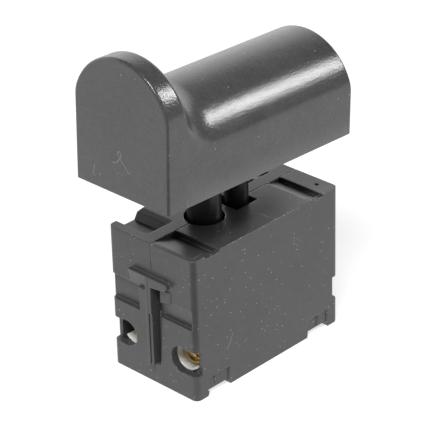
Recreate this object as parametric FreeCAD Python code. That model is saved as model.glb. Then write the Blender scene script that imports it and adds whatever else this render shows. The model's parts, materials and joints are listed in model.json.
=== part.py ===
import FreeCAD, Part
import math
import os

# Power tool trigger switch. Millimetres, X along the body, Y across it, Z up.
# X = 0 is the middle of the return spring, Y = 0 the parting plane, Z = 0 the underside.

# Body
body_length = 43.0
body_shift = 1.3
body_width = 23.8
body_height = 32.2
body_corner = 1.25
edge_round = 0.3

# Forms that are given for the nominal body stretch with it
along = body_length / 43.0
across = body_width / 23.8
upward = body_height / 32.2

# Walls and chambers
end_wall = 1.7
middle_wall = 3.4
top_wall = 1.8
floor_wall = 2.2
chamber_side_wall = 1.6
bay_side_wall = 0.9
shelf_top = 13.0 * upward
shelf_thickness = 0.8
chamber_half = 10.8 * along
well_half = 5.2 * along
bay_inner_x = 7.0 * along
partition_x = 12.0 * along
upper_pocket_low = 15.2 * upward
upper_pocket_high = 28.4 * upward
parting_gap = 0.14
parting_depth = 0.22
end_rib = 1.2
dowel_radius = 1.1
dowel_length = 2.2
dowel_play = 0.05
dowel_boss = 2.0
upper_dowel_inset = 6.0 * along
upper_dowel_z = 26.6 * upward
lower_dowel_x = 6.1 * along
lower_dowel_z = floor_wall + dowel_boss + 0.1

# Terminals
terminal_v = 7.4 * across
terminal_drop = 3.6
opening_radius = 3.0
opening_v = 7.9 * across
opening_drop = 0.1
wire_hole_radius = 2.0
wire_hole_u = 6.9 * along
strip = 1.0
leg_u = 8.3 * along
leg_half_width = 2.75
leg_bottom = 3.0
collar_radius = 2.9
collar_length = 1.5
screw_shank = 1.9
screw_head = 2.85
screw_head_u = 3.7
screw_tip_clearance = 1.0
clamp_u = 5.5
clamp_plate = 0.6
clamp_half = 3.1
clamp_trough = 3.0
clamp_wall = 0.5
contact_x = 7.6 * along
fixed_tip_radius = 1.8
moving_tip_radius = 1.6
tip_height = 0.8
tongue_x = contact_x - 1.4

# Trigger and plunger
travel = 7.0 * upward
slide_play = 0.1
post_left_x = -4.6
post_left_radius = 3.6
post_right_x = 4.7
post_right_radius = 2.6
post_top = 55.0
top_hole_radius = post_left_radius + 0.65
plate_thickness = 3.4 * upward
spring_tube_radius = 4.5
spring_tube_bore = 3.6
spring_tube_bottom = 18.0 * upward
stirrup_half = 2.2
bridge_half_width = 1.4
stirrup_cheek = 1.25
stirrup_sill = 1.8 * upward
cap_left = -27.05
cap_bottom = 45.48
cap_lean = 2.1
cap_length = 52.9
cap_width = 25.4
cap_high = 28.4
cap_low = 19.8
cap_rise = 0.4094 * cap_width
cap_side_radius = 0.2441 * cap_width
cap_land = 3.2
cap_convex = 2.4
cap_concave = 9.2
cap_wall = 1.8
cap_edge = 0.35
cap_rib = 1.4
cap_rib_lift = 2.0
cap_cross_rib_x = 14.0
socket_wall = 1.6
socket_play = 0.05

# Contacts and springs
bridge_thickness = 0.8
bridge_give = 1.2 * upward
contact_play = 0.05
bridge_half_length = contact_x + moving_tip_radius
contact_spring_radius = 1.15
contact_spring_wire = 0.44
contact_spring_turns = 4
return_spring_radius = 3.0
return_spring_wire = 0.7
return_spring_turns = 6
spring_seat_radius = 2.3
spring_seat_height = 3.0

body_left = body_shift - body_length / 2
body_right = body_shift + body_length / 2
half_width = body_width / 2
chamber_depth = half_width - chamber_side_wall
bay_depth = half_width - bay_side_wall
top_inside = body_height - top_wall
shelf_bottom = shelf_top - shelf_thickness
strip_top = shelf_top + strip
terminal_z = shelf_bottom - terminal_drop
opening_z = terminal_z - opening_drop
screw_tip_u = -bay_inner_x - body_left - screw_tip_clearance
fixed_tip_top = strip_top + tip_height
moving_tip_bottom = fixed_tip_top + travel - bridge_give + contact_play
bridge_bottom = moving_tip_bottom + tip_height
bridge_top = bridge_bottom + bridge_thickness
plate_top = top_inside - 0.05
plate_bottom = plate_top - plate_thickness
plate_half_length = chamber_half - slide_play
plate_half_width = chamber_depth - slide_play
left_leg = body_left + leg_u
right_leg = body_right - leg_u


def vec(x, y, z):
    return FreeCAD.Vector(x, y, z)


def box(x0, x1, y0, y1, z0, z1):
    return Part.makeBox(x1 - x0, y1 - y0, z1 - z0, vec(x0, y0, z0))


def rod(x, y, z0, z1, radius):
    return Part.makeCylinder(radius, z1 - z0, vec(x, y, z0))


def rod_x(x0, x1, y, z, radius):
    return Part.makeCylinder(radius, x1 - x0, vec(x0, y, z), vec(1, 0, 0))


def rod_y(x, y0, y1, z, radius):
    return Part.makeCylinder(radius, y1 - y0, vec(x, y0, z), vec(0, 1, 0))


def extruded(corners, way):
    return Part.Face(Part.makePolygon(corners + corners[:1])).extrude(way)


def joined(shapes):
    return shapes[0].fuse(shapes[1:]).removeSplitter()


def cut(shape, tools):
    return shape.cut(tools).removeSplitter()


def flipped_y(shape):
    return shape.mirror(vec(0, 0, 0), vec(0, 1, 0))


def at_left(shape):
    return shape.translated(vec(body_left, 0, 0))


def at_right(shape):
    return shape.mirror(vec(0, 0, 0), vec(1, 0, 0)).translated(vec(body_right, 0, 0))


def at_ends(shapes):
    return [place(shape) for shape in shapes for place in (at_left, at_right)]


# A half shell is worked out on the +Y side: v is the distance from the parting plane and u the
# distance inward from an end face. Relief is drawn on the nominal body and stretches with it.
def side_profile(points, v0, v1):
    corners = [vec(u, v0 * across, z * upward) for u, z in points]
    return extruded(corners, vec(0, (v1 - v0) * across, 0))


def end_profile(points, u0, u1):
    corners = [vec(u0, v * across, z * upward) for v, z in points]
    return extruded(corners, vec(u1 - u0, 0, 0))


def top_profile(points, v0, v1):
    corners = [vec(body_left + x * along, v0 * across, body_height + z) for x, z in points]
    return extruded(corners, vec(0, (v1 - v0) * across, 0))


def top_block(x0, x1, v0, v1, depth):
    return top_profile([(x0, -depth), (x1, -depth), (x1, 1), (x0, 1)], v0, v1)


def shell_block():
    block = box(body_left, body_right, 0, half_width, 0, body_height)
    corners = [e for e in block.Edges
               if abs(e.BoundBox.ZLength - body_height) < 0.01 and e.BoundBox.YMin > 1]
    return block.makeFillet(body_corner, corners)


def end_bay(start, v0, v1):
    return [box(body_left + start, -bay_inner_x, v0, v1, floor_wall, shelf_bottom),
            box(bay_inner_x, body_right - start, v0, v1, floor_wall, shelf_bottom)]


def terminal_slots():
    top = strip_top + 0.15
    left, right = left_leg - 0.35, right_leg + 0.1
    return [box(left, -chamber_half, 0, bay_depth, shelf_bottom, top),
            box(chamber_half, right, 0, bay_depth, shelf_top, top),
            box(right - 1.5, right, 0, bay_depth, shelf_bottom, shelf_top)]


def shell_pockets():
    low, high = upper_pocket_low, upper_pocket_high
    chambers = [
        box(-well_half, well_half, 0, chamber_depth, floor_wall, shelf_top),
        box(-chamber_half, chamber_half, 0, chamber_depth, shelf_top, top_inside),
        box(body_left + middle_wall, -partition_x, 0, chamber_depth, low, high),
        box(partition_x, body_right - middle_wall, 0, chamber_depth, low, high),
    ]
    bays = end_bay(end_wall, middle_wall, bay_depth) + end_bay(middle_wall, 0, middle_wall)
    return chambers + bays + terminal_slots()


def end_openings():
    slot = box(-1, end_wall + 0.1, opening_v, half_width + 1, opening_z - 2.9, opening_z + 2.7)
    mouth = rod_x(-1, end_wall + 0.1, opening_v, opening_z, opening_radius)
    wire_hole = rod(wire_hole_u, terminal_v, -1, floor_wall + 1, wire_hole_radius)
    foot = side_profile([(2.9, -1), (3.7, 1.2), (9.6, 1.2), (9.9, -1)], 10.0, 13.0)
    number_pocket = side_profile([(3.3, 1.0), (3.3, 4.2), (9.6, 4.2), (9.6, 1.0)], 11.55, 13.0)
    return [slot, mouth, wire_hole, foot, number_pocket]


def front_end_relief():
    cuts = [
        side_profile([(-1, 16.4), (1.9, 16.4), (1.9, 23.0), (-1, 23.0)], 0.8, 2.5),
        end_profile([(0.8, 4.7), (1.8, 4.7), (2.6, 16.5), (0.8, 16.5)], -1, 1.4),
        side_profile([(0, 21.0), (0.95, 16.3), (-1, 16.3), (-1, 21.0)], 2.5, 11.0),
    ]
    arm = [(0.0, 22.9), (4.6, 23.5), (5.3, 24.0), (5.5, 24.5), (5.2, 25.0), (4.7, 25.1), (0.0, 25.1)]
    adds = [
        side_profile([(-end_rib, 16.8), (0.2, 16.8), (0.2, 25.1), (-end_rib, 25.1)], 0, 0.8),
        side_profile([(0.2, 4.7), (0.2, 16.8), (-1.0, 16.8), (-1.0, 4.7)], 0, 0.8),
        end_profile(arm, -end_rib, 0.2),
        end_profile([(2.5, 19.8), (5.4, 20.5), (5.4, 23.0), (2.5, 22.8)], -0.2, 0.2),
    ]
    return cuts, adds


def back_end_relief():
    cuts = [side_profile([(-1, 15.5), (1.15, 15.5), (1.15, 21.5), (-1, 21.5)], 3.6, 13.0)]
    adds = [
        side_profile([(-end_rib, 4.7), (0.2, 4.7), (0.2, 25.1), (-end_rib, 25.1)], 0, 0.65),
        side_profile([(-end_rib, 25.1), (0.2, 25.1), (0.2, 21.3), (0.0, 21.3)], 0.65, 5.5),
        end_profile([(0.65, 18.0), (1.4, 18.0), (3.5, 21.3), (0.65, 21.3)], -0.5, 0.2),
    ]
    return cuts, adds


def front_top_relief():
    return [
        top_profile([(1.0, 0), (7.4, -1.3), (7.4, 1), (1.0, 1)], 0, 10.6),
        top_block(3.3, 7.4, 10.5, 13.0, 0.6),
        top_profile([(34.2, 0), (38.2, -1.0), (38.2, 1), (34.2, 1)], 0, 10.6),
        top_block(35.6, 38.2, 10.5, 13.0, 0.55),
        rod(body_left + 40.6 * along, 8.1 * across, body_height - 0.4, body_height + 1, 0.5),
    ]


def back_top_relief():
    left = [(2.3, 1), (2.3, 0), (3.6, -1.76), (7.3, -1.76), (8.2, -0.3), (9.8, 0), (9.8, 1)]
    right = [(34.2, 0), (38.2, -1.0), (38.2, 1), (34.2, 1)]
    return [top_profile(left, 3.1, 13.0), top_profile(right, 3.1, 13.0),
            top_block(28.0, 33.6, 3.0, 3.6, 0.5)]


def top_openings():
    low, high = top_inside - 1, body_height + 1
    reach = post_right_radius + 0.7
    return [rod(post_left_x, 0, low, high, top_hole_radius),
            box(post_right_x - reach, post_right_x + 2.9, -reach, reach, low, high)]


def parting_line():
    """A fine groove where the two halves meet, along the top, the ends and their ribs."""
    low, high = 4.7 * upward, 25.1 * upward
    gap, depth = parting_gap, parting_depth
    ends = [box(-3, depth, -1, gap, high, body_height + 1), box(-3, depth, -1, gap, -1, low),
            box(-3, depth - 1.0, -1, gap, low - 0.1, high + 0.1)]
    top = box(body_left - 1, body_right + 1, -1, gap, body_height - depth, body_height + 1)
    return at_ends(ends) + [top]


def dowel_places():
    return [(body_left + upper_dowel_inset, upper_dowel_z), (body_right - upper_dowel_inset - 1.1, upper_dowel_z),
            (-lower_dowel_x, lower_dowel_z), (lower_dowel_x, lower_dowel_z)]


def housing(on_back):
    relief_cuts, relief_adds = back_end_relief() if on_back else front_end_relief()
    top_relief = back_top_relief() if on_back else front_top_relief()
    bosses = [rod_y(x, 0, chamber_depth + 0.3, z, dowel_boss) for x, z in dowel_places()]
    seat = rod(0, 0, floor_wall - 0.5, floor_wall + spring_seat_height, spring_seat_radius)
    seat = seat.common(box(-5, 5, 0, 5, 0, 9))
    shell = cut(shell_block(), shell_pockets())
    shell = joined([shell, seat] + bosses)
    shell = cut(shell, at_ends(end_openings() + relief_cuts) + top_relief + top_openings())
    shell = joined([shell] + at_ends(relief_adds))
    if on_back:
        holes = [rod_y(x, -1, dowel_length + 0.4, z, dowel_radius + dowel_play) for x, z in dowel_places()]
        return cut(shell, holes)
    pins = [rod_y(x, -dowel_length, 0.5, z, dowel_radius) for x, z in dowel_places()]
    return flipped_y(joined([cut(shell, parting_line())] + pins))


# The trigger: arched cross-sections along a crown line that falls in an S from the high end
def arch_wire(x, crown, half, rise, side):
    foot = crown - rise
    reach = half - side
    top_radius = (reach * reach + rise * rise - side * side) / (2 * (rise - side))
    turn = math.atan2(top_radius - rise, reach)
    joint_y = reach + side * math.cos(turn)
    joint_z = foot + side * math.sin(turn)
    mid_y = reach + side * math.cos(turn / 2)
    mid_z = foot + side * math.sin(turn / 2)
    p = [vec(x, -half, 0), vec(x, -half, foot), vec(x, -joint_y, joint_z),
         vec(x, joint_y, joint_z), vec(x, half, foot), vec(x, half, 0)]
    return Part.Wire([
        Part.LineSegment(p[0], p[1]).toShape(),
        Part.Arc(p[1], vec(x, -mid_y, mid_z), p[2]).toShape(),
        Part.Arc(p[2], vec(x, 0, crown), p[3]).toShape(),
        Part.Arc(p[3], vec(x, mid_y, mid_z), p[4]).toShape(),
        Part.LineSegment(p[4], p[5]).toShape(),
        Part.LineSegment(p[5], p[0]).toShape()])


def crown_line(inset, convex_steps, concave_steps):
    a, b = cap_convex - inset, cap_concave + inset
    fall = math.acos(1 - (cap_high - cap_low) / (cap_convex + cap_concave))
    foot_x = cap_land + (cap_convex + cap_concave) * math.sin(fall)
    line = [(cap_land, cap_high - inset)]
    for i in range(1, convex_steps + 1):
        t = fall * i / convex_steps
        line.append((cap_land + a * math.sin(t), cap_high - cap_convex + a * math.cos(t)))
    for i in range(concave_steps - 1, -1, -1):
        t = fall * i / concave_steps
        line.append((foot_x - b * math.sin(t), cap_low + cap_concave - b * math.cos(t)))
    return line


def cap_outside():
    half = cap_width / 2
    ends = [(0.0, cap_edge), (cap_edge * 0.3, cap_edge * 0.3), (cap_edge, 0.0)]
    stations = [(x, cap_high - e, half - e) for x, e in ends]
    stations += [(x, z, half) for x, z in crown_line(0, 5, 8)]
    stations += [(cap_length - x, cap_low - e, half - e) for x, e in reversed(ends)]
    wires = [arch_wire(x, z, w, cap_rise, cap_side_radius) for x, z, w in stations]
    return Part.makeLoft(wires, True, True)


def cap_inside():
    half = cap_width / 2 - cap_wall
    line = crown_line(cap_wall, 1, 2)
    stations = [(cap_wall, cap_high - cap_wall)] + line + [(cap_length - cap_wall, cap_low - cap_wall)]
    wires = [arch_wire(x, z, half, cap_rise - cap_wall, cap_side_radius - cap_wall) for x, z in stations]
    return Part.makeLoft(wires, True, True)


def on_trigger(shape):
    lean = FreeCAD.Rotation(vec(0, 1, 0), cap_lean)
    return shape.transformed(FreeCAD.Placement(vec(cap_left, 0, cap_bottom), lean).toMatrix())


def trigger_cap():
    inside = on_trigger(cap_inside())
    shell = on_trigger(cap_outside()).cut(inside)
    low, high = cap_bottom + cap_rib_lift, cap_bottom + cap_high + 5
    half_rib, half_cap = cap_rib / 2, cap_width / 2
    ribs = [box(cap_left, cap_left + cap_length, -half_rib, half_rib, low - 1.0, high)]
    for x in (-cap_cross_rib_x, cap_cross_rib_x):
        ribs.append(box(x - half_rib, x + half_rib, -half_cap, half_cap, low, high))
    posts = ((post_left_x, post_left_radius), (post_right_x, post_right_radius))
    ribs += [rod(x, 0, low - 0.5, high, radius + socket_wall) for x, radius in posts]
    ribs = [rib.common(inside) for rib in ribs]
    top = post_top + socket_play
    sockets = [rod(x, 0, cap_bottom - 5, top, radius + socket_play) for x, radius in posts]
    return cut(joined([shell] + ribs), sockets)


def stirrup():
    v0, v1 = terminal_v - bridge_half_width - 0.15, terminal_v + bridge_half_width + 0.15
    outer0, outer1 = v0 - stirrup_cheek - 0.3, min(v1 + stirrup_cheek, plate_half_width)
    frame = box(-stirrup_half, stirrup_half, outer0, outer1, bridge_bottom - stirrup_sill, plate_bottom + 1)
    window = box(-stirrup_half - 1, stirrup_half + 1, v0, v1, bridge_bottom, plate_bottom)
    spigot = rod(0, terminal_v, plate_bottom - 1.2, plate_bottom + 0.5, contact_spring_radius * 0.7)
    return frame.cut(window).fuse(spigot)


def plunger():
    plate = box(-plate_half_length, plate_half_length, -plate_half_width, plate_half_width,
                plate_bottom, plate_top)
    tube = rod(0, 0, spring_tube_bottom, plate_bottom + 1, spring_tube_radius)
    posts = [rod(post_left_x, 0, plate_bottom + 1, post_top, post_left_radius),
             rod(post_right_x, 0, plate_bottom + 1, post_top, post_right_radius)]
    whole = joined([plate, tube, stirrup(), flipped_y(stirrup())] + posts)
    return cut(whole, [rod(0, 0, spring_tube_bottom - 1, plate_bottom, spring_tube_bore)])


def coil(y, z0, z1, radius, wire, turns, sides, steps):
    """Closed and evenly spaced turns of round wire about a line along Z."""
    z0, z1 = z0 + wire / 2, z1 - wire / 2
    pitch = (z1 - z0 - 2 * wire) / (turns - 2)
    rings = []
    for i in range(turns * steps + 1):
        t = i / steps
        z = z0 + wire * t if t < 1 else z0 + wire + pitch * (t - 1)
        z = min(z, z1 - wire * (turns - t)) if t > turns - 1 else z
        a = 2 * math.pi * t
        out = vec(math.cos(a), math.sin(a), 0)
        centre = vec(0, y, z) + out * radius
        turn = [2 * math.pi * (k + 0.5) / sides for k in range(sides)]
        ring = [centre + out * (wire / 2 * math.cos(b)) + vec(0, 0, wire / 2 * math.sin(b)) for b in turn]
        rings.append(Part.makePolygon(ring + ring[:1]))
    return Part.makeLoft(rings, True, True)


def return_spring():
    return coil(0, floor_wall, plate_bottom, return_spring_radius, return_spring_wire,
                return_spring_turns, 6, 10)


def contact_spring():
    return coil(terminal_v, bridge_top, plate_bottom, contact_spring_radius, contact_spring_wire,
                contact_spring_turns, 4, 8)


def bridge():
    strip_shape = box(-bridge_half_length, bridge_half_length, terminal_v - bridge_half_width,
                      terminal_v + bridge_half_width, bridge_bottom, bridge_top)
    ends = [e for e in strip_shape.Edges if abs(e.BoundBox.ZLength - bridge_thickness) < 0.01]
    return strip_shape.makeFillet(0.6, ends)


def bridge_tips():
    return Part.makeCompound([rod(x, terminal_v, moving_tip_bottom, bridge_bottom, moving_tip_radius)
                              for x in (-contact_x, contact_x)])


def fixed_contact(x):
    return rod(x, terminal_v, strip_top, fixed_tip_top, fixed_tip_radius)


def terminal(leg_x, inward):
    """Leg, inward tongue and screw collar, all of one strip. inward is 1 or -1 along X."""
    def span(start, length):
        return sorted((start, start + inward * length))

    v0, v1 = terminal_v - leg_half_width, terminal_v + leg_half_width - 0.1
    leg = span(leg_x, strip)
    tongue = sorted((leg_x, -inward * tongue_x))
    collar = span(leg_x, strip + collar_length)
    whole = joined([box(leg[0], leg[1], v0, v1, leg_bottom, strip_top),
                    box(tongue[0], tongue[1], v0, v1, shelf_top, strip_top),
                    rod_x(collar[0], collar[1], terminal_v, terminal_z, collar_radius)])
    return cut(whole, [rod_x(collar[0] - 1, collar[1] + 1, terminal_v, terminal_z, screw_shank + 0.05)])


def wire_clamp():
    """Plate under the screw head, with a half-round lip toward the opening."""
    v, z = terminal_v, terminal_z
    plate = box(clamp_u, clamp_u + clamp_plate, v - clamp_half, v + clamp_half, z - clamp_half, z + clamp_half)
    lip = rod_x(end_wall + 0.2, clamp_u + 0.1, v, z, clamp_trough + clamp_wall)
    lip = lip.cut(rod_x(end_wall, clamp_u + 0.2, v, z, clamp_trough))
    keep = extruded([vec(0, v - 4.5, z + 1.75), vec(0, v + 4.5, z - 1.2), vec(0, v + 4.5, z - 4.6),
                     vec(0, v - 4.5, z - 4.6)], vec(7, 0, 0))
    shape = joined([plate, lip.common(keep)])
    return cut(shape, [rod_x(clamp_u - 1, clamp_u + 2, v, z, screw_shank + 0.15)])


def terminal_screw():
    v, z = terminal_v, terminal_z
    head = rod_x(screw_head_u, clamp_u, v, z, screw_head)
    rim = [e for e in head.Edges if abs(e.BoundBox.XMax - screw_head_u) < 0.01]
    head = head.makeChamfer(0.3, rim)
    shank = rod_x(clamp_u - 0.5, screw_tip_u, v, z, screw_shank)
    slot = box(screw_head_u - 1, screw_head_u + 0.8, v - 4, v + 4, z - 0.4, z + 0.4)
    return cut(joined([head, shank]), [slot.rotated(vec(0, v, z), vec(1, 0, 0), 35)])


def build():
    parts = {
        "front_housing": housing(False),
        "back_housing": housing(True),
        "trigger_cap": trigger_cap(),
        "plunger": plunger(),
        "return_spring": return_spring(),
    }
    ends = (("left", left_leg, 1, at_left), ("right", right_leg, -1, at_right))
    for side, face in (("back", lambda shape: shape), ("front", flipped_y)):
        parts[side + "_bridge"] = face(bridge())
        parts[side + "_bridge_tips"] = face(bridge_tips())
        parts[side + "_contact_spring"] = face(contact_spring())
        for name, leg_x, inward, place in ends:
            prefix = side + "_" + name + "_"
            parts[prefix + "terminal"] = face(terminal(leg_x, inward))
            parts[prefix + "fixed_contact"] = face(fixed_contact(-inward * contact_x))
            parts[prefix + "terminal_screw"] = face(place(terminal_screw()))
            parts[prefix + "wire_clamp"] = face(place(wire_clamp()))
    return parts


os.makedirs("parts", exist_ok=True)
for node, shape in build().items():
    shape.exportStep("parts/" + node + ".step")
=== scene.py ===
import bmesh
import bpy
import json
import math
from mathutils import Matrix, Vector


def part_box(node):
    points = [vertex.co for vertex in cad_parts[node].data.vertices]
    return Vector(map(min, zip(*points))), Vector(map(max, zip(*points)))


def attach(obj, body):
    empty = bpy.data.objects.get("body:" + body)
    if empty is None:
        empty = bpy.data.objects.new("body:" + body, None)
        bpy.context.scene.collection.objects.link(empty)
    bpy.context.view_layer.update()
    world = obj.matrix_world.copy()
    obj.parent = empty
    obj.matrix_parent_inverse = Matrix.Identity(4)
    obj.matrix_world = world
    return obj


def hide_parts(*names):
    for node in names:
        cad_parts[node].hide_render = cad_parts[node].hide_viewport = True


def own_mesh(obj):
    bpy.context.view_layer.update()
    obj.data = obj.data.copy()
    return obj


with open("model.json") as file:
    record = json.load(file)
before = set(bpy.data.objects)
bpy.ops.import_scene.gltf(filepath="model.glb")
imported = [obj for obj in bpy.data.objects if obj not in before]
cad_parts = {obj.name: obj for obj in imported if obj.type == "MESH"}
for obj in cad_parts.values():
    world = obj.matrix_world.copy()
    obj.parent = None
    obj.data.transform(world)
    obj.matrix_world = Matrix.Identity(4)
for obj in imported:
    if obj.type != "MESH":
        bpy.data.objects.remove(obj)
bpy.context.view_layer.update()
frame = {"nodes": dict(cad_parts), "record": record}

MM = 0.001
PICTURE = 427


class Field:
    """A value that varies over a surface. Expressions on fields add their Math nodes."""

    def __init__(self, tree, socket=None):
        self.tree = tree
        self.socket = socket

    def node(self, kind, settings=None, inputs=None, output=0):
        made = self.tree.nodes.new(kind)
        for name, value in (settings or {}).items():
            if name == "stops":
                ramp = made.color_ramp.elements
                while len(ramp) < len(value):
                    ramp.new(0.5)
                for element, (position, colour) in zip(ramp, value):
                    element.position = position
                    element.color = colour
            else:
                setattr(made, name, value)
        for name, value in (inputs or {}).items():
            if isinstance(value, Field):
                self.tree.links.new(value.socket, made.inputs[name])
            else:
                made.inputs[name].default_value = value
        return Field(self.tree, made.outputs[output] if len(made.outputs) else None)

    def maths(self, operation, *values):
        inputs = {number: value for number, value in enumerate(values)}
        return self.node("ShaderNodeMath", {"operation": operation}, inputs)

    def __add__(self, other):
        return self.maths("ADD", self, other)

    def __radd__(self, other):
        return self.maths("ADD", other, self)

    def __sub__(self, other):
        return self.maths("SUBTRACT", self, other)

    def __rsub__(self, other):
        return self.maths("SUBTRACT", other, self)

    def __mul__(self, other):
        return self.maths("MULTIPLY", self, other)

    def __rmul__(self, other):
        return self.maths("MULTIPLY", other, self)

    def __truediv__(self, other):
        return self.maths("DIVIDE", self, other)

    def fade(self, low, high):
        inputs = {"Value": self, "From Min": low, "From Max": high}
        return self.node("ShaderNodeMapRange", {"interpolation_type": "SMOOTHSTEP"}, inputs)

    def largest(self, other):
        return self.maths("MAXIMUM", self, other)

    def size(self):
        return self.maths("ABSOLUTE", self)


def rgba(red, green, blue):
    return (red, green, blue, 1.0)


def blank_material(name):
    material = bpy.data.materials.new(name)
    material.use_nodes = True
    material.node_tree.nodes.clear()
    return material, Field(material.node_tree)


def finish_material(field, shader):
    field.node("ShaderNodeOutputMaterial", None, {"Surface": shader})


def place_of(field):
    return field.node("ShaderNodeTexCoord", None, None, "Object")


def noise(field, place, per_mm, detail=2.0, rough=0.5, output="Fac"):
    inputs = {"Vector": place, "Scale": per_mm / MM, "Detail": detail, "Roughness": rough}
    return field.node("ShaderNodeTexNoise", None, inputs, output)


def stretched(field, place, scale, turn=(0, 0, 0)):
    inputs = {"Vector": place, "Scale": scale, "Rotation": turn}
    return field.node("ShaderNodeMapping", None, inputs)


def specks(field, place, per_mm, share, size):
    """Small separate grains: share of the cells that carry one, and its radius in cells."""
    inputs = {"Vector": place, "Scale": per_mm / MM}
    near = field.node("ShaderNodeTexVoronoi", None, inputs, "Distance")
    tint = field.node("ShaderNodeTexVoronoi", None, inputs, "Color")
    pick = field.node("ShaderNodeSeparateColor", None, {"Color": tint}, "Red")
    return near.fade(size, size * 0.6) * pick.fade(1.0 - share, 1.0 - share + 0.02)


def scratches(field, place, scale, turn, width, share):
    """Thin lines: cell borders of a long stretched pattern, kept in a few patches only."""
    lines = stretched(field, place, scale, turn)
    inputs = {"Vector": lines, "Scale": 1.0}
    edge = field.node("ShaderNodeTexVoronoi", {"feature": "DISTANCE_TO_EDGE"}, inputs, "Distance")
    patch = noise(field, place, 0.12, 3.0)
    return edge.fade(width, 0.0) * patch.fade(1.0 - share, 1.08 - share)


def stroke(field, place, start, end, width):
    """A worn line between two points of the surface, in millimetres."""
    start, end = Vector(start) * MM, Vector(end) * MM
    run = end - start
    away = field.node("ShaderNodeVectorMath", {"operation": "SUBTRACT"}, {0: place, 1: start})
    share = {0: away, 1: run / run.length_squared}
    share = field.node("ShaderNodeVectorMath", {"operation": "DOT_PRODUCT"}, share, "Value")
    share = field.maths("MINIMUM", share.largest(0.0), 1.0)
    nearest = field.node("ShaderNodeVectorMath", {"operation": "SCALE"}, {0: run, "Scale": share})
    gap = {0: away, 1: nearest}
    gap = field.node("ShaderNodeVectorMath", {"operation": "DISTANCE"}, gap, "Value")
    return gap.fade(width * MM, width * MM * 0.3)


def worn_path(field, place, points, width):
    """Worn lines joined end to end."""
    whole = stroke(field, place, points[0], points[1], width)
    for start, end in zip(points[1:], points[2:]):
        whole = whole.largest(stroke(field, place, start, end, width))
    return whole


def rounded_normal(field, radius):
    return field.node("ShaderNodeBevel", {"samples": 8}, {"Radius": radius * MM}, "Normal")


def edge_mask(field, rounded):
    """Where the rounded normal leaves the true one, which is along the edges."""
    true = field.node("ShaderNodeNewGeometry", None, None, "Normal")
    both = {0: rounded, 1: true}
    both = field.node("ShaderNodeVectorMath", {"operation": "DOT_PRODUCT"}, both, "Value")
    return both.fade(0.985, 0.86)


def bumped(field, rounded, height, strength, distance):
    inputs = {"Height": height, "Strength": strength, "Distance": distance * MM, "Normal": rounded}
    return field.node("ShaderNodeBump", None, inputs, "Normal")


def mixed(field, mask, first, second):
    inputs = {"Factor": mask, 6: first, 7: second}
    return field.node("ShaderNodeMix", {"data_type": "RGBA"}, inputs, 2)


def moulded_plastic(name, dark, light, gloss, grain_per_mm, grain_height, scuffs, edge, dusty,
                    worn=()):
    """Black moulded plastic: fine grain, slow waves, dust grains, thin pale scuffs, and edges lightened
    in colour as a painted highlight that also stands for some edge wear.
    """
    material, field = blank_material(name)
    place = place_of(field)
    slow = noise(field, place, 0.09, 3.0)
    blotch = noise(field, place, 0.6, 4.0)
    grain = noise(field, place, grain_per_mm, 2.0, 0.6)
    pits = noise(field, place, grain_per_mm * 2.3, 1.0)
    crowd = noise(field, place, 0.14, 2.0).fade(0.42, 0.66)
    dust = specks(field, place, 0.55, dusty, 0.085) * crowd
    dust = dust.largest(specks(field, place, 1.3, dusty * 0.8, 0.14))
    scuff = scratches(field, place, (160, 900, 220), (0.5, 0.9, 0.2), 0.02, scuffs)
    scuff = scuff.largest(scratches(field, place, (700, 130, 300), (0.2, 0.4, 1.1), 0.016, scuffs))
    for points, width in worn:
        scuff = scuff.largest(worn_path(field, place, points, width))
    rounded = rounded_normal(field, edge)
    edge_highlight_mask = edge_mask(field, rounded)
    tone = (slow * 0.3 + blotch * 0.25 + grain * 0.45).fade(0.32, 0.68)
    colour = mixed(field, tone, rgba(*dark), rgba(*light))
    # Edges lightened towards grey: a painted highlight along the edges, partly also edge wear.
    colour = mixed(field, edge_highlight_mask * 0.28, colour, rgba(0.3, 0.3, 0.3))
    colour = mixed(field, scuff * 0.55, colour, rgba(0.30, 0.30, 0.30))
    colour = mixed(field, dust * 0.9, colour, rgba(0.74, 0.73, 0.70))
    rough = gloss + (grain - 0.5) * 0.25 + (slow - 0.5) * 0.1 + dust * 0.25 + scuff * 0.12 - edge_highlight_mask * 0.16
    height = grain * 0.7 + pits * 0.3 - scuff * 0.6 + dust * 0.8
    normal = bumped(field, rounded, height, 0.8, grain_height)
    inputs = {"Base Color": colour, "Roughness": rough, "Normal": normal, "IOR": 1.55}
    finish_material(field, field.node("ShaderNodeBsdfPrincipled", None, inputs))
    return material


def bright_metal(name, colour, stain, rough, edge, brushed, shine=1.0):
    """Turned or stamped metal: fine lines, faint stains and soft bright edges."""
    material, field = blank_material(name)
    place = place_of(field)
    lines = noise(field, stretched(field, place, brushed), 1.0, 3.0, 0.6)
    cloud = noise(field, place, 0.9, 4.0, 0.6)
    spots = specks(field, place, 1.7, 0.2, 0.22)
    tint = mixed(field, cloud.fade(0.42, 0.72) * 0.6, rgba(*colour), rgba(*stain))
    tint = mixed(field, spots * 0.35, tint, rgba(*[c * 0.45 for c in stain]))
    roughness = rough + (lines - 0.5) * 0.18 + cloud.fade(0.4, 0.8) * 0.12
    normal = bumped(field, rounded_normal(field, edge), lines * 0.8 + cloud * 0.2, 0.35, 0.02)
    inputs = {"Base Color": tint, "Metallic": shine, "Roughness": roughness, "Normal": normal}
    finish_material(field, field.node("ShaderNodeBsdfPrincipled", None, inputs))
    return material


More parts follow.
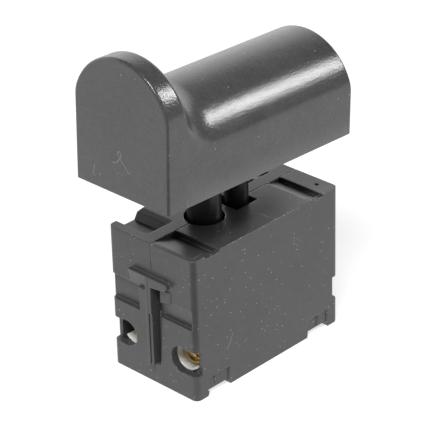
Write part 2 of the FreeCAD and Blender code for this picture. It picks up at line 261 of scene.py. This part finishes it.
cap_wear = (
    (((-26.7, 0.5, 54.9), (-26.7, -0.2, 54.3), (-26.75, 0.3, 53.3), (-26.8, 1.4, 52.2),
      (-26.8, 2.3, 52.0)), 0.14),
    (((-26.75, 0.2, 53.2), (-26.8, -1.0, 52.2), (-26.8, -1.9, 51.2), (-26.85, -2.4, 51.0)), 0.13),
    (((-26.7, 0.6, 54.8), (-26.7, 1.0, 54.2), (-26.75, 0.4, 53.6)), 0.12),
    (((-26.85, 7.3, 50.1), (-26.9, 7.6, 48.8), (-26.95, 7.9, 47.9), (-27.0, 7.3, 47.5)), 0.12),
)
body_wear = (
    (((2.4, -6.4, 32.2), (3.4, -7.4, 32.2), (3.6, -8.8, 32.2), (3.1, -10.3, 32.2)), 0.1),
    (((-7.9, -6.5, 32.2), (-7.2, -6.9, 32.2)), 0.16),
    (((-9.5, -11.9, 11.5), (-10.4, -11.9, 9.7), (-11.2, -11.9, 8.4)), 0.13),
    (((-6.4, -11.9, 7.9), (-5.3, -11.9, 8.3)), 0.1),
)
body_plastic = moulded_plastic("body_plastic", (0.046, 0.046, 0.047), (0.069, 0.069, 0.070),
                               0.34, 3.0, 0.030, 0.3, 0.32, 0.28, body_wear)
trigger_plastic = moulded_plastic("trigger_plastic", (0.056, 0.056, 0.057), (0.080, 0.080, 0.081),
                                  0.19, 2.1, 0.060, 0.34, 0.3, 0.04, cap_wear)
# The plunger's posts get a much darker base colour than the body: painted shade for the shadow under
# the trigger.
shaded_post_plastic = moulded_plastic("shaded_post_plastic", (0.010, 0.010, 0.011), (0.018, 0.018, 0.019),
                               0.34, 5.0, 0.008, 0.08, 0.12, 0.02)
brass = bright_metal("brass", (0.86, 0.60, 0.21), (0.62, 0.38, 0.12), 0.30, 0.1, (0.3, 3.0, 3.0))
nickel = bright_metal("nickel", (0.92, 0.92, 0.91), (0.86, 0.86, 0.85), 0.45, 0.12,
                      (3.0, 0.4, 3.0), 0.15)
silver = bright_metal("silver", (0.88, 0.87, 0.84), (0.7, 0.68, 0.62), 0.22, 0.08, (2.0, 2.0, 2.0))
spring_steel = bright_metal("spring_steel", (0.56, 0.56, 0.57), (0.4, 0.39, 0.38), 0.28, 0.04,
                            (2.0, 2.0, 4.0))

finish_of = {
    "body_plastic": body_plastic,
    "trigger_plastic": trigger_plastic,
    "spring_steel": spring_steel,
    "brass": brass,
    "silver": silver,
    "nickel": nickel,
}
for part in frame["record"]["subparts"]:
    node = frame["nodes"][part["node"]]
    # The plunger takes the darker plastic, which paints in the shade under the trigger.
    finish = shaded_post_plastic if part["node"] == "plunger" else finish_of[part["material_slot"]]
    node.data.materials.clear()
    node.data.materials.append(finish)


def add_piece(name, mesh, body, finish, node=None, smooth=True):
    """Puts a piece in the scene: its finish, the body that carries it, the node it stands for."""
    mesh.materials.append(finish)
    mesh.polygons.foreach_set("use_smooth", [smooth] * len(mesh.polygons))
    made = bpy.data.objects.new(name, mesh)
    bpy.context.scene.collection.objects.link(made)
    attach(made, body)
    if node:
        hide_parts(node)
    made.modifiers.new("flat faces kept flat", "WEIGHTED_NORMAL").keep_sharp = True
    return made


def mesh_of(name, points, faces):
    """A mesh from points in millimetres, with its normals turned outward."""
    mesh = bpy.data.meshes.new(name)
    mesh.from_pydata([tuple(c * MM for c in point) for point in points], [], faces)
    work = bmesh.new()
    work.from_mesh(mesh)
    bmesh.ops.recalc_face_normals(work, faces=work.faces)
    work.to_mesh(mesh)
    work.free()
    return mesh


def ring_faces(rings, sides, first=0, close=True):
    """Quads between rings of points that follow each other, with caps on both ends."""
    faces = []
    for i in range(rings - 1):
        for j in range(sides):
            k = (j + 1) % sides
            a, b = first + i * sides, first + (i + 1) * sides
            faces.append((a + j, a + k, b + k, b + j))
    if close:
        faces.append(tuple(range(first, first + sides)))
        faces.append(tuple(range(first + (rings - 1) * sides, first + rings * sides)))
    return faces


def node_box(node):
    low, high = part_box(node)
    return [c / MM for c in low], [c / MM for c in high]


def coil_spring(name, node, body, turns, wire, travel, held_at_top):
    """A wound spring with closed, flat ends in the box of its CAD node."""
    low, high = node_box(node)
    y = (low[1] + high[1]) / 2
    radius = (high[0] - low[0]) / 2 - wire / 2
    z0, z1 = low[2] + wire / 2, high[2] - wire / 2
    pitch = (z1 - z0 - 2 * wire) / (turns - 2)
    steps, sides = 26, 12
    points = []
    for i in range(turns * steps + 1):
        t = i / steps
        z = z0 + wire * t if t < 1 else z0 + wire + pitch * (t - 1)
        z = min(z, z1 - wire * (turns - t)) if t > turns - 1 else z
        a = 2 * math.pi * t
        for k in range(sides):
            b = 2 * math.pi * k / sides
            r = radius + wire / 2 * math.cos(b)
            rise = z + wire / 2 * math.sin(b)
            rise = min(max(rise, low[2] + 0.02), high[2] - 0.02)
            points.append((r * math.cos(a), y + r * math.sin(a), rise))
    mesh = mesh_of(name, points, ring_faces(turns * steps + 1, sides))
    made = add_piece(name, mesh, body, spring_steel, node)
    held = high[2] if held_at_top else low[2]
    y * MM
    held * MM
    1 - travel / (high[2] - low[2])
    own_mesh(made)


def screw_profile():
    """Depth and radius along a screw, from the middle of its face to its tip."""
    return [(0.24, 0.0), (0.24, 1.0), (0.30, 1.4), (0.52, 1.64), (0.60, 1.8), (0.53, 1.96),
            (0.2, 2.14), (0.04, 2.32), (0.0, 2.5), (0.04, 2.66), (0.16, 2.79), (0.36, 2.85),
            (1.55, 2.85), (1.72, 2.78), (1.8, 2.6), (1.8, 1.62)]


def terminal_screw(name, node, on_left):
    """A brass terminal screw: rounded rim, sunk ring, domed middle, slot and a cut thread."""
    low, high = node_box(node)
    y, z = (low[1] + high[1]) / 2, (low[2] + high[2]) / 2
    length = high[0] - low[0]
    sides, thread_pitch, thread_depth, thread_radius = 48, 0.7, 0.22, 1.88
    thread_start, thread_end = 1.9, length - 0.4
    points, rings = [], 0

    def place(u, r, j):
        a = 2 * math.pi * j / sides
        x = low[0] + u if on_left else high[0] - u
        return (x, y + r * math.cos(a), z + r * math.sin(a))

    for u, r in screw_profile():
        points += [place(u, max(r, 0.01), j) for j in range(sides)]
        rings += 1
    u = thread_start
    while u < thread_end:
        for j in range(sides):
            turn = (u / thread_pitch + j / sides) % 1.0
            points.append(place(u, thread_radius - thread_depth * abs(2 * turn - 1), j))
        rings += 1
        u += thread_pitch / 7
    for u, r in ((length - 0.35, 1.62), (length - 0.05, 1.3), (length, 1.1), (length, 0.01)):
        points += [place(u, r, j) for j in range(sides)]
        rings += 1
    mesh = mesh_of(name, points, ring_faces(rings, sides))
    made = add_piece(name, mesh, "housing", brass, node)
    cut_slot(made, place(0.3, 0.0, 0), width=0.7, length=6.4, depth=1.3, angle=35)


def wire_clamp(name, node, on_left, on_back):
    """Plated clamp: a bored square plate whose front edge rolls down into a half-round trough."""
    low, high = node_box(node)
    side = 1 if on_back else -1
    y, z = side * 7.4, 8.6
    plate_thick, plate_reach, corner_cut, hole_radius, sides = 0.6, 3.1, 1.8, 2.05, 48
    trough_inside, trough_outside, lip = 3.0, 3.5, 0.1
    trough_start, trough_turn, steps = -112, 162, 30
    back = high[0] - low[0]
    plate = back - plate_thick
    points, faces = [], []

    def place(u, aside, up):
        return (low[0] + u if on_left else high[0] - u, y + side * aside, z + up)

    corners, hole = [], []
    for j in range(sides):
        a = 2 * math.pi * (j + 0.5) / sides
        c, s = math.cos(a), math.sin(a)
        reach = plate_reach / max(abs(c), abs(s), (abs(c) + abs(s)) / corner_cut)
        corners.append((c * reach, s * reach))
        hole.append((c * hole_radius, s * hole_radius))
    for u, line in ((plate, hole), (plate, corners), (back, corners), (back, hole), (plate, hole)):
        points += [place(u, c, s) for c, s in line]
    faces += ring_faces(5, sides, 0, False)
    first = len(points)
    edge = [(0.0, trough_inside + lip), (lip, trough_inside), (plate + lip, trough_inside),
            (plate + lip, trough_outside), (lip, trough_outside), (0.0, trough_outside - lip)]
    for i in range(steps + 1):
        a = math.radians(trough_start + trough_turn * i / steps)
        points += [place(u, r * math.sin(a), -r * math.cos(a)) for u, r in edge]
    faces += ring_faces(steps + 1, len(edge), first)
    mesh = mesh_of(name, points, faces)
    work = bmesh.new()
    work.from_mesh(mesh)
    bmesh.ops.remove_doubles(work, verts=work.verts, dist=0.005 * MM)
    bmesh.ops.recalc_face_normals(work, faces=work.faces)
    work.to_mesh(mesh)
    work.free()
    mesh.set_sharp_from_angle(angle=math.radians(40))
    add_piece(name, mesh, "housing", nickel, node)


def cut_slot(piece, centre, width, length, depth, angle):
    """Cuts a straight slot across a face that looks along X."""
    knife = bpy.data.meshes.new("knife")
    work = bmesh.new()
    bmesh.ops.create_cube(work, size=1.0)
    bmesh.ops.scale(work, vec=(depth * MM, length * MM, width * MM), verts=work.verts)
    bmesh.ops.rotate(work, cent=(0, 0, 0), matrix=Matrix.Rotation(math.radians(angle), 3, "X"),
                     verts=work.verts)
    bmesh.ops.translate(work, vec=Vector(centre) * MM, verts=work.verts)
    work.to_mesh(knife)
    work.free()
    tool = bpy.data.objects.new("knife", knife)
    bpy.context.scene.collection.objects.link(tool)
    slot = piece.modifiers.new("slot", "BOOLEAN")
    slot.operation, slot.solver, slot.object = "DIFFERENCE", "EXACT", tool
    graph = bpy.context.evaluated_depsgraph_get()
    cut = bpy.data.meshes.new_from_object(piece.evaluated_get(graph))
    piece.modifiers.clear()
    piece.data = cut
    bpy.data.objects.remove(tool)


# The trigger: measures as in the CAD, with a tighter crest and rounded rims
cap_left, cap_bottom, cap_lean = -27.05, 45.48, math.radians(2.1)
cap_length, cap_width, cap_high, cap_low = 52.9, 25.4, 28.4, 19.8
cap_rise, cap_side, cap_wall, cap_edge = 10.4, 6.2, 1.8, 0.6
cap_land, cap_convex, cap_concave = 4.1, 1.1, 9.2


def arch_points(crown, half, rise, side, foot_z=0.0):
    """Across the cap at one station: up one wall, over the three-centred arch and down the other."""
    reach, foot = half - side, crown - rise
    top = (reach * reach + rise * rise - side * side) / (2 * (rise - side))
    turn = math.atan2(top - rise, reach)
    one_side = [(half, foot_z), (half, foot_z + (foot - foot_z) * 0.5), (half, foot)]
    for i in range(1, 9):
        a = turn * i / 8
        one_side.append((reach + side * math.cos(a), foot + side * math.sin(a)))
    for i in range(1, 12):
        a = turn + (math.pi / 2 - turn) * i / 12
        one_side.append((top * math.cos(a), crown - top + top * math.sin(a)))
    return [(y, z) for y, z in one_side] + [(0.0, crown)] + [(-y, z) for y, z in reversed(one_side)]


def cap_stations():
    """Pairs of outer and inner stations along the cap: place, crown, half width and foot."""
    half, inner = cap_width / 2, cap_width / 2 - cap_wall
    fall = math.acos(1 - (cap_high - cap_low) / (cap_convex + cap_concave))
    foot_x = cap_land + (cap_convex + cap_concave) * math.sin(fall)
    inner_high, inner_low, bend = cap_high - cap_wall, cap_low - cap_wall, cap_concave + cap_wall
    start = foot_x - math.sqrt(bend ** 2 - (cap_low + cap_concave - inner_high) ** 2)
    start_turn = math.acos((cap_low + cap_concave - inner_high) / bend)
    outer, inside = [], []
    for i in range(6):
        a = math.pi / 2 * i / 5
        outer.append((cap_edge * (1 - math.sin(a)), cap_high - cap_edge * (1 - math.cos(a)),
                      half - cap_edge * (1 - math.cos(a))))
    outer = outer[::-1]
    for i in range(1, 4):
        outer.append((cap_edge + (cap_land - cap_edge) * i / 3, cap_high, half))
    for i in range(1, 11):
        t = fall * i / 10
        outer.append((cap_land + cap_convex * math.sin(t),
                      cap_high - cap_convex * (1 - math.cos(t)), half))
    flat = len(outer)
    for i in range(flat):
        inside.append((cap_wall + (start - cap_wall) * i / (flat - 1), inner_high, inner))
    for i in range(1, 25):
        t = fall * (1 - i / 24)
        outer.append((foot_x - cap_concave * math.sin(t),
                      cap_low + cap_concave * (1 - math.cos(t)), half))
        t = start_turn * (1 - i / 24)
        inside.append((foot_x - bend * math.sin(t),
                       cap_low + cap_concave - bend * math.cos(t), inner))
    for i in range(1, 9):
        share = i / 8
        outer.append((foot_x + (cap_length - cap_edge - foot_x) * share, cap_low, half))
        inside.append((foot_x + (cap_length - cap_wall - 0.5 - foot_x) * share, inner_low, inner))
    for i in range(1, 6):
        a = math.pi / 2 * i / 5
        drop = cap_edge * (1 - math.cos(a))
        outer.append((cap_length - cap_edge + cap_edge * math.sin(a), cap_low - drop, half - drop))
        inside.append((cap_length - cap_wall - 0.5 + 0.1 * i, inner_low, inner))
    return outer, inside


def on_cap(x, y, z):
    return (cap_left + x * math.cos(cap_lean) + z * math.sin(cap_lean), y,
            cap_bottom - x * math.sin(cap_lean) + z * math.cos(cap_lean))


def prism(points, faces, outline, far):
    """Adds a closed prism between an outline and its copy."""
    first, count = len(points), len(outline)
    points.extend(outline)
    points.extend(far)
    faces.extend(ring_faces(2, count, first))


def tube(points, faces, x, z0, z1, outside, bore):
    """Adds an upright tube, closed at its top."""
    first, sides = len(points), 40
    roof, lip, centre = z1 - 1.2, 0.2, 0.01
    for radius, z in ((centre, roof), (bore, roof), (bore, z0 + lip), (bore + 0.15, z0),
                      (outside - lip, z0), (outside, z0 + lip), (outside, z1), (centre, z1)):
        for j in range(sides):
            a = 2 * math.pi * j / sides
            points.append((x + radius * math.cos(a), radius * math.sin(a), z))
    faces.extend(ring_faces(8, sides, first))


def trigger_cap():
    """The trigger's hollow arched cap, with its ribs and the two sockets of its posts."""
    outer, inside = cap_stations()
    points, faces = [], []
    rows = []
    inner_rise, inner_side = cap_rise - cap_wall, cap_side - cap_wall
    for line, rise, side in ((outer, cap_rise, cap_side), (inside, inner_rise, inner_side)):
        row = []
        for x, crown, half in line:
            section = arch_points(crown, half, rise, side)
            row.append(range(len(points), len(points) + len(section)))
            points.extend(on_cap(x, y, z) for y, z in section)
        rows.append(row)
    for row in rows:
        for one, two in zip(row, row[1:]):
            faces += [(one[j], one[j + 1], two[j + 1], two[j]) for j in range(len(one) - 1)]
        faces += [tuple(row[0]), tuple(row[-1])]
    here, there = rows
    for i in range(len(here) - 1):
        for end in (0, -1):
            faces.append((here[i][end], here[i + 1][end], there[i + 1][end], there[i][end]))
    for i in (0, -1):
        faces.append((here[i][0], here[i][-1], there[i][-1], there[i][0]))
    sink, rib, rib_foot, cross_foot = 1.5, 0.7, 1.2, 2.2
    crossing = arch_points(cap_low - sink, cap_width / 2 - sink, cap_rise - sink, cap_side - sink,
                           cross_foot)
    for x in (12.55, 40.55):
        prism(points, faces, [on_cap(x - rib, y, z) for y, z in crossing],
              [on_cap(x + rib, y, z) for y, z in crossing])
    spine = [(sink, rib_foot)] + [(x, crown + 0.3) for x, crown, half in inside[::3]]
    spine.append((cap_length - sink, rib_foot))
    prism(points, faces, [on_cap(x, -rib, z) for x, z in spine], [on_cap(x, rib, z) for x, z in spine])
    tube(points, faces, -4.6, cap_bottom + 1.5, 62.2, 5.2, 3.65)
    tube(points, faces, 4.7, cap_bottom + 1.5, 62.0, 4.2, 2.65)
    mesh = mesh_of("trigger_shell", points, faces)
    add_piece("trigger_shell", mesh, "trigger", trigger_plastic, "trigger_cap")


digit_lines = {
    "1": [[(-0.35, 0.55), (0.0, 0.95), (0.0, -0.95)]],
    "2": [[(-0.5, 0.5), (-0.35, 0.85), (0.0, 0.98), (0.35, 0.85), (0.48, 0.45), (0.2, -0.05),
           (-0.5, -0.92), (0.55, -0.92)]],
    "3": [[(-0.5, 0.75), (-0.1, 0.97), (0.35, 0.82), (0.42, 0.4), (0.0, 0.08), (0.45, -0.2),
           (0.48, -0.65), (0.05, -0.97), (-0.5, -0.75)]],
    "4": [[(0.3, -0.95), (0.3, 0.95), (-0.55, -0.35), (0.6, -0.35)]],
}


def raised_number(name, digit, x, y, z, facing):
    """A plain raised number beside a terminal; facing is -1 on the front and 1 on the back."""
    curve = bpy.data.curves.new(name, "CURVE")
    curve.dimensions = "3D"
    curve.bevel_depth, curve.bevel_resolution = 0.13 * MM, 3
    for line in digit_lines[digit]:
        strand = curve.splines.new("POLY")
        strand.points.add(len(line) - 1)
        for point, (across, up) in zip(strand.points, line):
            point.co = ((x - facing * across) * MM, y * MM, (z + up) * MM, 1.0)
    curve.use_fill_caps = True
    curve.materials.append(body_plastic)
    made = bpy.data.objects.new(name, curve)
    bpy.context.scene.collection.objects.link(made)
    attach(made, "housing")


def small_parts():
    coil_spring("return_coil", "return_spring", "housing", 6, 0.7, 7.0, False)
    for side in ("front", "back"):
        coil_spring(side + "_contact_coil", side + "_contact_spring", "trigger", 4, 0.44,
                    1.2, True)
        for end in ("left", "right"):
            place = side + "_" + end
            terminal_screw(place + "_screw", place + "_terminal_screw", end == "left")
            wire_clamp(place + "_clamp", place + "_wire_clamp", end == "left", side == "back")
    pocket, left, right, up = 11.55, -14.7, 16.4, 2.6
    raised_number("number_one", "1", left, -pocket, up + 0.15, -1)
    raised_number("number_two", "2", right, -pocket, up, -1)
    raised_number("number_three", "3", right, pocket, up, 1)
    raised_number("number_four", "4", left, pocket, up, 1)


trigger_cap()
small_parts()


def studio():
    """A pale sweep behind the switch, an unlit room in front and above, and white to the camera."""
    world = bpy.data.worlds.new("studio")
    bpy.context.scene.world = world
    world.use_nodes = True
    world.node_tree.nodes.clear()
    field = Field(world.node_tree)
    way = field.node("ShaderNodeTexCoord", None, None, "Generated")
    height = field.node("ShaderNodeSeparateXYZ", None, {0: way}, "Z")
    depth = field.node("ShaderNodeSeparateXYZ", None, {0: way}, "Y")
    sweep_way = {0: way, 1: (0.7, 0.7, 0.0)}
    behind = field.node("ShaderNodeVectorMath", {"operation": "DOT_PRODUCT"}, sweep_way, "Value")
    back_wall = behind.fade(-0.25, 0.25) * depth.fade(0.02, 0.18)
    sweep = height.fade(0.74, 0.46) * (back_wall * 1.3 + 0.12)
    paths = field.node("ShaderNodeLightPath", None, None, "Is Camera Ray")
    gloss = field.node("ShaderNodeLightPath", None, None, "Is Glossy Ray")
    through = field.node("ShaderNodeLightPath", None, None, "Is Transmission Ray")
    plain = field.node("ShaderNodeBackground", None, {"Color": rgba(1, 1, 1), "Strength": 0.12})
    mirrored = field.node("ShaderNodeBackground", None, {"Color": rgba(1, 1, 1), "Strength": sweep})
    white = field.node("ShaderNodeBackground", None, {"Color": rgba(1, 1, 1), "Strength": 1.0})
    lit = field.node("ShaderNodeMixShader", None, {0: gloss.largest(through), 1: plain, 2: mirrored})
    shown = field.node("ShaderNodeMixShader", None, {0: paths, 1: lit, 2: white})
    field.node("ShaderNodeOutputWorld", None, {"Surface": shown})


def lamp(name, azimuth, elevation, distance, size, power):
    """A soft box aimed at the switch. Angles in degrees, azimuth 0 in front and 90 at its right."""
    a, e = math.radians(azimuth), math.radians(elevation)
    way = Vector((math.sin(a) * math.cos(e), -math.cos(a) * math.cos(e), math.sin(e)))
    data = bpy.data.lights.new(name, "AREA")
    data.shape = "RECTANGLE"
    data.size, data.size_y = size
    data.energy = power
    made = bpy.data.objects.new(name, data)
    made.location = way * distance + Vector((0, 0, 0.04))
    made.rotation_mode = "QUATERNION"
    made.rotation_quaternion = (-way).to_track_quat("-Z", "Y")
    bpy.context.scene.collection.objects.link(made)


def floor():
    """White table. A dark card lies toward the camera, as the dull upright corners show."""
    mesh = bpy.data.meshes.new("floor")
    reach = 3.0
    corners = [(-reach, -reach, 0), (reach, -reach, 0), (reach, reach, 0), (-reach, reach, 0)]
    mesh.from_pydata(corners, [], [(0, 1, 2, 3)])
    made = bpy.data.objects.new("floor", mesh)
    bpy.context.scene.collection.objects.link(made)
    material, field = blank_material("floor_white")
    place = field.node("ShaderNodeNewGeometry", None, None, "Position")
    side = {0: place, 1: (1.0, -1.0, 0.0)}
    ahead = {0: place, 1: (-0.7, -0.7, 0.0)}
    side = field.node("ShaderNodeVectorMath", {"operation": "DOT_PRODUCT"}, side, "Value")
    ahead = field.node("ShaderNodeVectorMath", {"operation": "DOT_PRODUCT"}, ahead, "Value")
    card = ahead.fade(0.02, 0.05) * (side.size() / ahead.largest(0.001)).fade(1.5, 0.8)
    paper = field.node("ShaderNodeBsdfDiffuse", None, {"Color": rgba(0.9, 0.9, 0.9)})
    white = field.node("ShaderNodeEmission", None, {"Color": rgba(1, 1, 1), "Strength": 1.6})
    mirrored = field.node("ShaderNodeEmission", None,
                          {"Color": rgba(1, 1, 1), "Strength": 1.0 - card * 0.9})
    bounce = field.node("ShaderNodeEmission", None, {"Color": rgba(1, 1, 1), "Strength": 1.15})
    seen = field.node("ShaderNodeLightPath", None, None, "Is Camera Ray")
    gloss = field.node("ShaderNodeLightPath", None, None, "Is Glossy Ray")
    through = field.node("ShaderNodeLightPath", None, None, "Is Transmission Ray")
    plain = field.node("ShaderNodeMixShader", None, {0: gloss.largest(through), 1: bounce, 2: mirrored})
    shown = field.node("ShaderNodeMixShader", None, {0: 0.45, 1: paper, 2: white})
    shown = field.node("ShaderNodeMixShader", None, {0: seen, 1: plain, 2: shown})
    finish_material(field, shown)
    mesh.materials.append(material)


studio()
floor()
lamp("ridge_box", 54, 33, 1.0, (0.22, 0.26), 3.5)
lamp("front_box", -60, 56, 1.0, (0.3, 0.3), 7.5)


def photo_camera():
    """The photograph's view: fitted angles in degrees, lengths in mm, focus in its pixels."""
    azimuth, elevation, roll = math.radians(-45.445), math.radians(28.215), math.radians(-1.613)
    distance, aside, above, focus = 441.99, -2.305, 0.314, 2166.65
    back = Vector((math.sin(azimuth) * math.cos(elevation),
                   -math.cos(azimuth) * math.cos(elevation), math.sin(elevation)))
    right = (-back).cross(Vector((0, 0, 1))).normalized()
    up = right.cross(-back)
    place = Vector((1.3, 0, 30)) + right * aside + up * above + back * distance
    level, tall = right, up
    right = level * math.cos(roll) + tall * math.sin(roll)
    up = tall * math.cos(roll) - level * math.sin(roll)
    data = bpy.data.cameras.new("photo_camera")
    data.sensor_width = 36.0
    data.lens = data.sensor_width * focus / PICTURE
    data.clip_start, data.clip_end = 0.01, 10.0
    made = bpy.data.objects.new("photo_camera", data)
    made.matrix_world = Matrix((
        (right.x, up.x, back.x, place.x * MM),
        (right.y, up.y, back.y, place.y * MM),
        (right.z, up.z, back.z, place.z * MM),
        (0, 0, 0, 1)))
    bpy.context.scene.collection.objects.link(made)
    bpy.context.scene.camera = made


photo_camera()
bpy.context.scene.view_settings.view_transform = "Standard"
